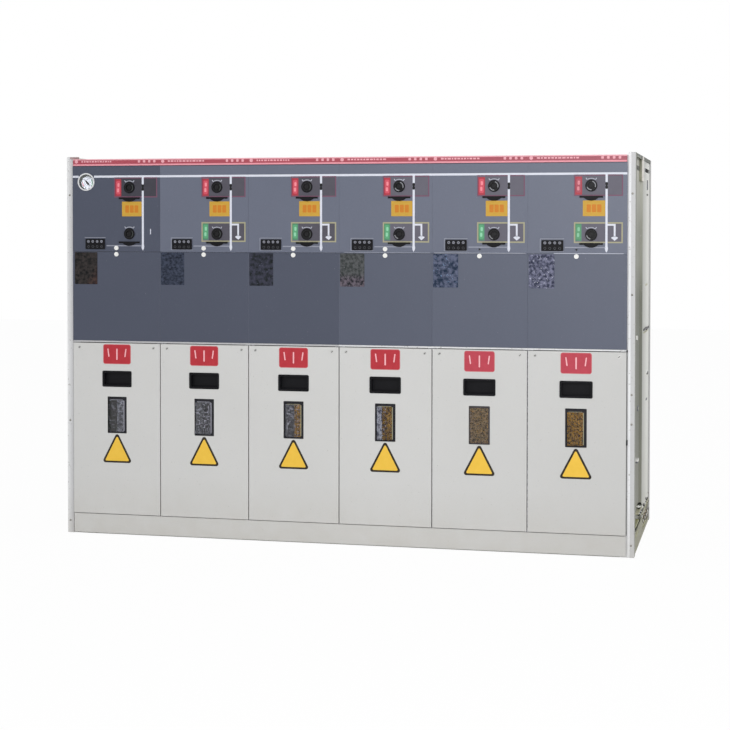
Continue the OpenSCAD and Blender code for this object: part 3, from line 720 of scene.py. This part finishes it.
def placePlates(bay):
    k, cx, film = bay["number"], bay["centre"], plates["film"]
    s = plates["name"]
    slab(plateBox(s, bay["socket"], bay["loadZ"], s["corner"], 3), skin, s["thick"])
    for i in (-1, 0, 1):
        slab(centredBox(bay["socket"] + sum(s["x"]) / 2 + i * s["pitch"],
                        bay["loadZ"] + sum(s["z"]) / 2, *s["block"]), skin - s["thick"], film, 1)
    makePiece(f"bay_name_plate_{k}", "yellow orange")

    s = plates["label"]
    w, h = s["size"]
    cz, rim, front = doorTop - s["drop"] - h / 2, s["border"], skin - s["thick"]
    slab(centredBox(cx, cz, w, h, s["corner"]), skin, s["thick"])
    slab(centredBox(cx, cz, w - 2 * rim, h - 2 * rim, s["corner"] - rim), front, film, 1)
    slab(centredBox(cx, cz, *s["bar"]), front - film, s["ink"], 2)
    out, rise, lean = s["sideBars"]
    for side in (-1, 1):
        x, z = cx + side * out, cz + rise
        bar = tilted(centredBox(x, z, *s["sideBar"]), x, z, -side * lean)
        slab(bar, front - film, s["ink"], 2)
    makePiece(f"door_label_{k}", f"borderRed {'labelRed' if k < 5 else 'labelPink'} labelPale")

    s = plates["sign"]
    thick, top = s["thick"], doorTop - s["drop"] + s["corner"]
    foot = top - s["corner"] - s["tall"]
    inX, inFoot, inTip = [share * s["border"] for share in s["inset"]]
    for half, base, tip, r, y, lay, index in (  # the border, and the field inside it
            (s["half"], foot, top, s["corner"], skin, thick, 0),
            (s["half"] - inX, foot + inFoot, top - inTip, s["innerCorner"], skin - thick,
             film, 1)):
        corners = [(cx + half, base), (cx, tip), (cx - half, base)]
        slab(roundCorners(corners, r, 8), y, lay, index)
    makePiece(f"door_sign_{k}", "signEdge signYellow")

    s = plates["pocket"]
    slab(plateBox(s, bay["left"], mimicLow, 3, 4), skin, s["thick"])
    makePiece(f"plate_pocket_{k}", f"plateFilm{k}")


def dressHeader():
    s = dict(line=6.5, edge=4.5, seam=2.4, print=0.2, disc=(12, 7), dashFrom=34, dashes=12,
        dashLong=(5, 13), dashGap=4, dash=3, blockFrom=285, blocks=4, block=(10, 10, 2.5),
        blockPitch=22)
    (x0, x1), (z0, z1) = reach("header_strip", "x"), reach("header_strip", "z")
    for z, w, index in ((z0 + s["line"] / 2, s["line"], 0), (z1 - s["edge"] / 2, s["edge"], 1)):
        strip(x0 + 1, z, x1 - 1, z, w, index=index)
    makePiece("header_line", "pink headerMark")
    strip(x0, mimicTop - 1.4, x1, mimicTop - 1.4, s["seam"])  # a dark joint under the header, its darkness partly painted shade
    makePiece("header_seam", "seam")
    z = (z0 + s["line"] + z1) / 2
    draw = random.Random(7)
    for bay in bays:
        slab(disc(bay["left"] + s["disc"][0], z, s["disc"][1], 20), skin, s["print"])
        x = bay["left"] + s["dashFrom"]
        for i in range(s["dashes"]):
            w = draw.uniform(*s["dashLong"])
            slab(box(x, z - s["dash"], x + w, z + s["dash"]), skin, s["print"])
            x += w + s["dashGap"]
        for i in range(s["blocks"]):
            x = bay["left"] + s["blockFrom"] + i * s["blockPitch"]
            slab(centredBox(x, z, *s["block"]), skin, s["print"])
    makePiece("header_marks", "headerMark")


for bay in bays:
    placePlates(bay)
dressHeader()
print("plates, labels and header in place")


# sockets, lamps and screws

def socketStubs(bay):
    s = dict(across=17, cap=3, chamfer=1.2, behind=2,  # behind the collar's face
        face=(14.3, 18.3), rub=0.03, worn=dict(  # from and to, in degrees
            little=((-50, 40),), load=((-20, 75), (200, 275)), earth=((190, 260),)))
    lateBay = bay["number"] > 3
    r, cap = s["across"] / sqrt(3), s["cap"]
    for kind in ("load", "earth"):
        shaft = f"{kind}_shaft_{bay['number']}"
        x, z, face = middle(shaft).x, middle(shaft).z, low(shaft).y
        turned((x, face + s["behind"] + cap, z), (0, -1, 0), [
            (r + 0.15, 0), (r + 0.15, cap - 0.8), (r - s["chamfer"], cap + 0.2), (4, cap + 0.2),
            (3.2, cap - 0.8)], 6)
        # painted sheen: grey arcs on each collar's face stand for its reflections, paler in the
        # later bays
        for start, end in s["worn"][kind if lateBay else "little"]:
            slab(arcBand(x, z, *s["face"], start, end), face, s["rub"], 1)
        makePiece(f"{kind}_stub_cap_{bay['number']}",
                  "blackSteel " + ("wornPale" if lateBay else "worn"), shaft)


def ring(x, z, outer, inner, y, thick, steps=24, index=0):
    frameSlab(disc(x, z, outer, steps), disc(x, z, inner, steps), y, thick, index)


def lampRings(bay):  # set flush in the block, which already stands as far out as anything does
    s = dict(pitch=19, lit=(5.2, 3.6), unlit=(4.6, 3.8), lamp=3.2, rise=0.04)
    z0, z1 = reach("voltage_indicators", "z")
    lowRow, highRow = z0 + 0.25 * (z1 - z0), z0 + 0.75 * (z1 - z0)
    front, rise, r = low("voltage_indicators").y, s["rise"], s["lamp"]
    blockMid = low("voltage_indicators").x - bays[0]["left"] + lines["blockWide"] / 2
    for i in range(4):
        x = bay["left"] + blockMid + (i - 1.5) * s["pitch"]
        ring(x, highRow, *s["lit"], front, rise)
        turned((x, front, highRow), (0, -1, 0), [(r, 0), (r * 0.7, rise * 0.8), (0, rise)], 16, 1)
        ring(x, lowRow, *s["unlit"], front, rise, index=2)
    makePiece(f"indicator_lamps_{bay['number']}", "pale lampLens ring")


def quarterTurns(bay):  # a lock near each upper corner of a door
    s = dict(inset=27, drop=18, r=6, slot=(8.2, 2.6), turn=40)
    x0, x1 = reach(f"door_{bay['number']}", "x")
    z, (w, h) = doorTop - s["drop"], s["slot"]
    for x in (x0 + s["inset"], x1 - s["inset"]):
        ring(x, z, s["r"], s["r"] - 1.7, skin, 1, 32)
        slab(disc(x, z, s["r"] - 1.8), skin, 0.5)
        slab(tilted(box(x - w / 2, z - h / 2, x + w / 2, z + h / 2), x, z, s["turn"]),
             skin - 0.5, 0.15, 1)
    makePiece(f"door_locks_{bay['number']}", "brightSteel black")


def postScrews():
    s = dict(left=(51, 465, 1393), right=(47, 511, 624, 1006, 1392), inset=12, size=(4.2, 1.5),
        rear=range(110, 1443, 222), rearInset=16, rearSize=(5, 2))
    back, width = high("rear_posts").y, high("rear_posts").x
    front = [(x, z) for x, zs in ((leftEnd + s["inset"], s["left"]),
                                  (rightEnd - s["inset"], s["right"])) for z in zs]
    rear = [(side * (width - s["rearInset"]), z) for side in (-1, 1) for z in s["rear"]]
    for name, places, y, outward, (r, h) in (("post_screws", front, postFace, -1, s["size"]),
                                             ("rear_screws", rear, back, 1, s["rearSize"])):
        for x, z in places:
            turned((x, y, z), (0, outward, 0), [
                (r, 0), (r, h * 0.35), (r * 0.82, h * 0.8), (r * 0.5, h), (0, h)], 16)
        makePiece(name, "dullSteel")


def gaugeFace():  # the dial lies deep in the case, off its middle, with a painted shadow round it for the shade of the case's wall
    s = dict(depth=9.6, dial=26, shift=(3.4, -4), needle=(-13, 14, 4.4), turn=-52, marks=21,
        # where a mark starts and ends, of the dial's radius, and how wide it is
        longMark=(0.72, 0.9, 1), mark=(0.79, 0.9, 0.5), firstMark=225, markStep=13.5,
        band=(0.74, 0.86), bands=((-35, 45, 3), (175, 215, 2)))
    x, z = middle("gauge_case").x, middle("gauge_case").z
    r = (high("gauge_glass").x - low("gauge_glass").x) / 2
    floor, dial = low("gauge_case").y + s["depth"], s["dial"]
    # painted shadow: a dark back disc and a dark inner ring round the dial
    slab(disc(x, z, r - 0.3, 48), floor + 0.8, 0.4, 4)
    ring(x, z, r - 0.2, r - 0.7, floor + 0.4, s["depth"] - 3.8, 48, 4)
    x, z = x + s["shift"][0], z + s["shift"][1]
    slab(disc(x, z, dial, 48), floor + 0.4, 0.8)
    front = floor - 0.4
    for i in range(s["marks"]):  # every fifth mark is longer
        near, far, w = s["mark" if i % 5 else "longMark"]
        turn = s["firstMark"] - i * s["markStep"]
        rays(x, z, [turn], dial * near, dial * far, w, front, 1)
    near, far = s["band"]
    for start, end, index in s["bands"]:
        slab(arcBand(x, z, dial * near, dial * far, start, end), front, 0.2, index)
    tail, tip, half = s["needle"]
    needle = [(x + tail, z - half * 0.6), (x + half, z - half), (x + tip, z - half * 0.2),
              (x + tip, z + half * 0.2), (x + half, z + half), (x + tail, z + half * 0.6)]
    slab(tilted(needle, x, z, s["turn"]), front - 0.7, 0.4, 1)
    turned((x, front, z), (0, -1, 0), [(3, 0), (3, 1.6), (2, 2), (0, 2)], 16, 1)
    makePiece("gauge_dial", "white black flagRed flagGreen worn")


for fit in (socketStubs, lampRings, quarterTurns):
    for bay in bays:
        fit(bay)
postScrews()
gaugeFace()
print("sockets, lamps, locks, screws and gauge face in place")


# windows

windows = dict(
    width=83, height=150,  # the hole in a door's skin
    # how much of the pane the black gasket covers: left, right, top and bottom; the wide top and
    # right stand for the shadow there, a painted shadow
    gasketAndShadow=((1, 17, 15, 5), (1, 17, 14, 6), (5, 15, 14, 6), (5, 16, 13, 4), (3, 8, 9, 4),
        (7, 15, 15, 5)),
    gasketThick=0.8, bead=2.8, step=5.5, wire=0.7,
    knot=(1.7, 1.7, 1.7, 1.7, 1.2, 1.5),
    # the bright knots are painted glints on the wire
    bright=(0.3, 0.5, 0.55, 0.34, 0.4, 0.34),  # share of the crossings with a bright knot
    ochreFrom=(9, 9, 0.25, 0.02, -0.4, -0.5),  # of the width, where the knots turn ochre
)


def fitWindow(bay, draw):
    s, k, cx = windows, bay["number"], bay["centre"]
    halfW, halfH = s["width"] / 2, s["height"] / 2
    cz, (front, back) = middle("window_panes").z, reach("window_panes", "y")
    left, right, top, bottom = s["gasketAndShadow"][k - 1]
    x0, x1, z0, z1 = cx - halfW + left, cx + halfW - right, cz - halfH + bottom, cz + halfH - top
    # the gasket, with a painted shadow along its top and right
    frameSlab(centredBox(cx, cz, 2 * halfW - 1, 2 * halfH - 1, 2),
              centredBox((x0 + x1) / 2, (z0 + z1) / 2, x1 - x0, z1 - z0, 2), front,
              s["gasketThick"])
    bead, y = s["bead"], front - s["gasketThick"]
    if k != 5:  # a painted highlight on the gasket's right and top edges, where light catches the pane's edge
        strip(x1 + bead / 2, z0 + 4, x1 + bead / 2, z1 - 2, bead, y, 1)
        strip(x0 + 6, z1 + bead / 4, x1 - 4, z1 + bead / 4, bead / 2, y, 1)
    makePiece(f"window_gasket_shadow_{k}", ("greyGasketAndShadow" if k == 5 else "blackRubber")
              + (" cream" if k > 2 else " bead"))

    # a wire screen behind the pane, with painted glints: bright knots at some of its crossings
    y, wire = back + 0.5, s["wire"]
    xs = [cx - halfW + i * s["step"] for i in range(int(2 * halfW / s["step"]) + 1)]
    zs = [cz - halfH + i * s["step"] for i in range(int(2 * halfH / s["step"]) + 1)]
    for x in xs:
        brick((x - wire / 2, y, cz - halfH), (x + wire / 2, y + wire, cz + halfH))
    for z in zs:
        brick((cx - halfW, y + wire, z - wire / 2), (cx + halfW, y + 2 * wire, z + wire / 2))
    for x in xs:
        for z in zs:
            if draw.random() > s["bright"][k - 1]:
                continue
            r = s["knot"][k - 1] * draw.uniform(0.55, 1.5)
            index = 2 if x > cx + s["ochreFrom"][k - 1] * halfW * 2 else 1
            turned((x, y, z), (0, -1, 0), [(r, 0), (r * 0.7, 0.3), (0, 0.4)], 6, index)
    makePiece(f"window_screen_{k}", "screenWire screenKnot dustyKnot")


def fitInside():  # bare plates behind parts of two windows, and strips along some boards
    s = dict(plateY=(170, 173), plateZ=(250, 720), plates=((1, -67, 167.5), (4, -167.5, -52)),
        lap=12, thick=2, boardEdges={3: 84, 4: 85, 5: 79})
    y0, y1 = [skin + v for v in s["plateY"]]
    for k, x0, x1 in s["plates"]:
        cx = bays[k - 1]["centre"]
        brick((cx + x0, y0, s["plateZ"][0]), (cx + x1, y1, s["plateZ"][1]))
        makePiece(f"inner_plate_{k}", f"innerPlate{k}")
    overlap = low("barrier_boards").x - bays[0]["left"] + s["lap"]
    face, (z0, z1) = low("barrier_boards").y, reach("barrier_boards", "z")
    for k, edge in s["boardEdges"].items():
        left = bays[k - 1]["left"]
        brick((left + edge, face - s["thick"], z0), (left + overlap, face, z1))
        makePiece(f"board_edge_{k}", "ochreBoard")


draw = random.Random(21)
for bay in bays:
    fitWindow(bay, draw)
fitInside()
print("windows fitted")


# right and left ends

def dressEnds():
    s = dict(angle=(0.4, 2.6, 30), angleTall=15, plate=(2.2, 5.2), notch=(60, 407, 20),
        packing=(4, 14), packingY=(-63, -15), packingDrop=(100, 3))
    front, back, baseTop = high("front_posts").y, low("rear_posts").y, high("base_crossmembers").z
    for name, side, outer in (("left", -1, leftEnd), ("right", 1, rightEnd)):
        if name == "right":  # an angle along the top of its side panel
            outside, fold, inside = [outer - v for v in s["angle"]]
            brick((outside, front, topEnd - s["angleTall"]), (fold, back, topEnd - 0.5))
            brick((fold, front, topEnd - 2.5), (inside, back, topEnd - 0.5))
            makePiece("top_angle_right", "endAnglePaint")
        # a sheet over the end of the base, cut out round the earth terminal
        (x0, x1), (y0, y1, z0) = [outer - side * v for v in s["plate"]], s["notch"]
        brick((x0, front, 1), (x1, y0, baseTop))
        brick((x0, y0, 1), (x1, back, z0))
        if name == "left":  # there is no terminal at this end
            brick((x0, y0, z0), (x1, back, baseTop))
        makePiece(f"end_plate_{name}", "endPlatePaint")

        # packing behind the strap that joins on the next lineup
        (x0, x1), (y0, y1) = [outer - side * v for v in s["packing"]], s["packingY"]
        z0, z1 = [topEnd - v for v in s["packingDrop"]]
        brick((x0, y0, z0), (x1, y1, z1))
        makePiece(f"strap_packing_{name}", "endPlatePaint")


def rightHardware():  # small fittings on the right end, which faces the viewer
    recess, flush, bar, plate, top = [rightEnd - v for v in (14, 4, 2.5, 2.2, 0.4)]
    dark, pale, bright, mid, olive, brass = range(6)
    # painted shade in part: the dark studs stand for the shadow gaps beside bright bolt heads, and
    # the olive bar high in the recess near the front is a painted shadow
    fittings = (  # stands on, stands out, from y to y, from z to z, which material
        (recess, 1, -184, -18, 1490, 1508, olive), (flush, 0.5, 106, 152, 1493, 1507, mid),
        (top, 0.3, -386, -330, 1540, 1547, olive), (top, 0.3, -300, -226, 1542, 1548, mid),
        (top, 0.3, -190, -120, 1538, 1545, olive), (top, 0.3, 40, 110, 1541, 1548, olive),
        (flush, 0.5, 377, 395, 1493, 1507, mid), (flush, 3.6, 250, 260, 1419, 1461, mid),
        (flush, 2, 235, 300, 1396, 1403, olive), (flush, 2.5, 190, 270, 1020, 1026, pale),
        (flush, 3.6, 72, 230, 838, 846, dark), (flush, 3.6, 225, 384, 833, 841, dark),
        (flush, 3, 80, 300, 826, 831, pale), (recess, 10, -262, -240, 822, 838, bright),
        (recess, 6, -236, -205, 818, 834, olive), (flush, 3, 235, 275, 650, 662, bright),
        (flush, 3.6, 285, 325, 640, 650, dark), (flush, 2, 235, 290, 535, 542, mid),
        (recess, 3, -130, -70, 528, 546, mid), (recess, 3.4, -112, -88, 533, 541, pale),
        (recess, 13.7, -250, -206, 343, 352, bright), (recess, 11, -246, -212, 336, 341, mid),
        (plate, 1, -335, -200, 58, 70, brass), (recess, 12.8, -340, -180, 98, 106, brass),
        (bar, 2, 60, 205, 30, 40, brass), (recess, 13.4, -200, -22, 126, 131, pale),
        (flush, 3.6, 0, 395, 92, 97, pale))
    for base, out, y0, y1, z0, z1, index in fittings:
        brick((base, y0, z0), (base + out, y1, z1), index)

    def bolt(base, y, z, r, index):  # a stud with its nut
        h = rightEnd - 0.2 - base
        turned((base, y, z), (1, 0, 0), [
            (r * 0.6, 0), (r * 0.6, h * 0.3), (r, h * 0.3), (r, h * 0.8), (r * 0.5, h * 0.8),
            (r * 0.5, h), (0, h)], 6, index)

    draw = random.Random(4)
    for i, y in enumerate(range(-128, -20, 20)):  # two rows above the base, in the recess
        bolt(recess, y, 146 - 8 * (i % 2), 5, (bright, dark, olive)[i % 3])
        bolt(recess, y + 8, 112, 4.2, (dark, bright, mid)[i % 3])
    for i, y in enumerate(range(14, 400, 27)):  # a row above the earth bar and one on it
        bolt(flush, y, 112 + draw.choice((-6, 6)), 7, (dark, bright, olive)[i % 3])
        bolt(bar if y > 60 else flush, y, 52 if y > 60 else 84, 6.5, (bright, olive, dark)[i % 3])
        if y > 200:
            bolt(flush, y + 9, 84, 5, (dark, pale)[i % 2])
    turned((plate, -384, 35), (1, 0, 0), [(5, 0), (5, 1), (3, 1.8), (0, 1.8)], 12, dark)
    makePiece("end_fittings", "blackSteel fitting whitePlastic ring olive brass")


def frontTrim():  # dark strips along the outer doors and in the gaps over and beside them, painted shadows of those gaps, and a darker pinkish plate edge at the top left
    s = dict(strip=4, lift=0.5, bit=(432, 452), edge=(15, 55, 9, 1))
    left, right = low("door_1").x, high(f"door_{bayCount}").x
    slab(box(left - 1.5 - s["strip"], doorLow, left - 1.5, doorTop), postFace, s["lift"], 1)
    bits = (((right + 0.2, skin + 6, doorLow), (right + 2.6, postFace + 5, doorTop), 1),
            # a dark strip behind the gap over the doors, a painted shadow in it
            ((left, skin + 19, doorTop - 12), (right, skin + 22, doorTop + 6), 0),
            ((right + 0.2, skin + 1, s["bit"][0]), (right + 5.5, postFace - 0.2, s["bit"][1]), 0),
            ((right + 0.2, skin + 1, doorTop + 1), (right + 4.5, postFace - 0.2, doorTop + 8), 0))
    for a, b, index in bits:
        brick(a, b, index)
    makePiece("door_gap_shade", "blackRubber agedRubber")
    # a darker pinkish strip along the corner plate's edge
    x0, x1, z0, z1 = s["edge"]
    slab(box(leftEnd + x0, topEnd - z0, leftEnd + x1, topEnd - z1), low("front_posts").y, 0.4)
    makePiece("corner_plate_edge", "duskyPinkPaint")


dressEnds()
rightHardware()
frontTrim()
print("ends dressed")


# stage, in m

studio = dict(
    lens=82.5, shift=-0.1393,
    cameraFromCorner=(2.788, -6.429, 1.269),  # from the foot of the left post's front
    pitch=-1.29, roll=-0.05, yaw=13.35,
    worldLight=0.56, floorWhite=0.965, floorColour=(0.95, 0.95, 0.95, 1),
    # each softbox: power, place, size and what it points at
    key=(220, (2.0, -7.2, 2.7), (2.6, 2.2), (0, -0.4, 0.8)),
    side=(60, (6.5, -1.5, 2.6), (2.5, 2.2), (1.1, 0, 0.8)),
    bayPower=(0.95, 1.15, 1.2, 1.05, 0.95, 0.95), baySize=(0.24, 0.05),
    bayLamp=(-0.38, 0.74), bayTarget=(0.25, 0.42),  # y and z
)


def place(name, data):
    made = bpy.data.objects.new(name, data)
    scene.collection.objects.link(made)
    return made


def makeCamera():
    s = studio
    data = bpy.data.cameras.new("camera")
    data.lens, data.shift_y, data.clip_end = s["lens"], s["shift"], 60
    camera = place("camera", data)
    camera.location = Vector((leftEnd * mm, postFace * mm, 0)) + Vector(s["cameraFromCorner"])
    camera.rotation_euler = [radians(v) for v in (90 + s["pitch"], s["roll"], s["yaw"])]
    scene.camera = camera


def seenDirectly(tree):  # 1 for what the camera sees, also in glass and in metal
    path = add(tree, "LightPath").outputs
    first = maths(tree, "MAXIMUM", path["Is Camera Ray"], path["Is Glossy Ray"])
    return maths(tree, "MAXIMUM", first, path["Is Transmission Ray"])


def makeFloor():
    bmesh.ops.create_grid(bm, x_segments=8, y_segments=8, size=14)
    data = bpy.data.meshes.new("floor")
    bm.to_mesh(data)
    material = bpy.data.materials.new("paleFloor")
    material.use_nodes = True
    tree = material.node_tree
    tree.nodes.clear()
    white = maths(tree, "MULTIPLY", seenDirectly(tree), studio["floorWhite"])
    diffuse = add(tree, "BsdfDiffuse", {"Color": studio["floorColour"]}).outputs[0]
    glow = add(tree, "Emission", {"Color": "ffffff", "Strength": 1}).outputs[0]
    mix = add(tree, "MixShader", {0: white, 1: diffuse, 2: glow}).outputs[0]
    add(tree, "OutputMaterial", {"Surface": mix})
    data.materials.append(material)
    place("floor", data)


def makeLight(name, power, spot, size, target):
    data = bpy.data.lights.new(name, "AREA")
    data.shape, data.energy = "RECTANGLE", power
    data.size, data.size_y = size
    light = place(name, data)
    light.location = spot
    light.rotation_euler = (Vector(target) - Vector(spot)).to_track_quat("-Z", "Y").to_euler()


def makeWorld():
    world = bpy.data.worlds.new("studio")
    scene.world = world
    world.use_nodes = True
    tree = world.node_tree
    strength = remap(tree, seenDirectly(tree), 0, 1, studio["worldLight"], 1)
    for label, value in (("Color", "ffffff"), ("Strength", strength)):
        plug(tree, tree.nodes["Background"].inputs[label], value)


makeCamera()
makeFloor()
makeLight("keySoftbox", *studio["key"])
makeLight("sideSoftbox", *studio["side"])
for bay, power in zip(bays, studio["bayPower"]):  # a small lamp inside each bay
    makeLight(f"bayLamp{bay['number']}", power, (bay["centre"] * mm, *studio["bayLamp"]),
              studio["baySize"], (bay["centre"] * mm, *studio["bayTarget"]))
makeWorld()
scene.view_settings.view_transform = "Standard"
print("camera, floor and lights in place")
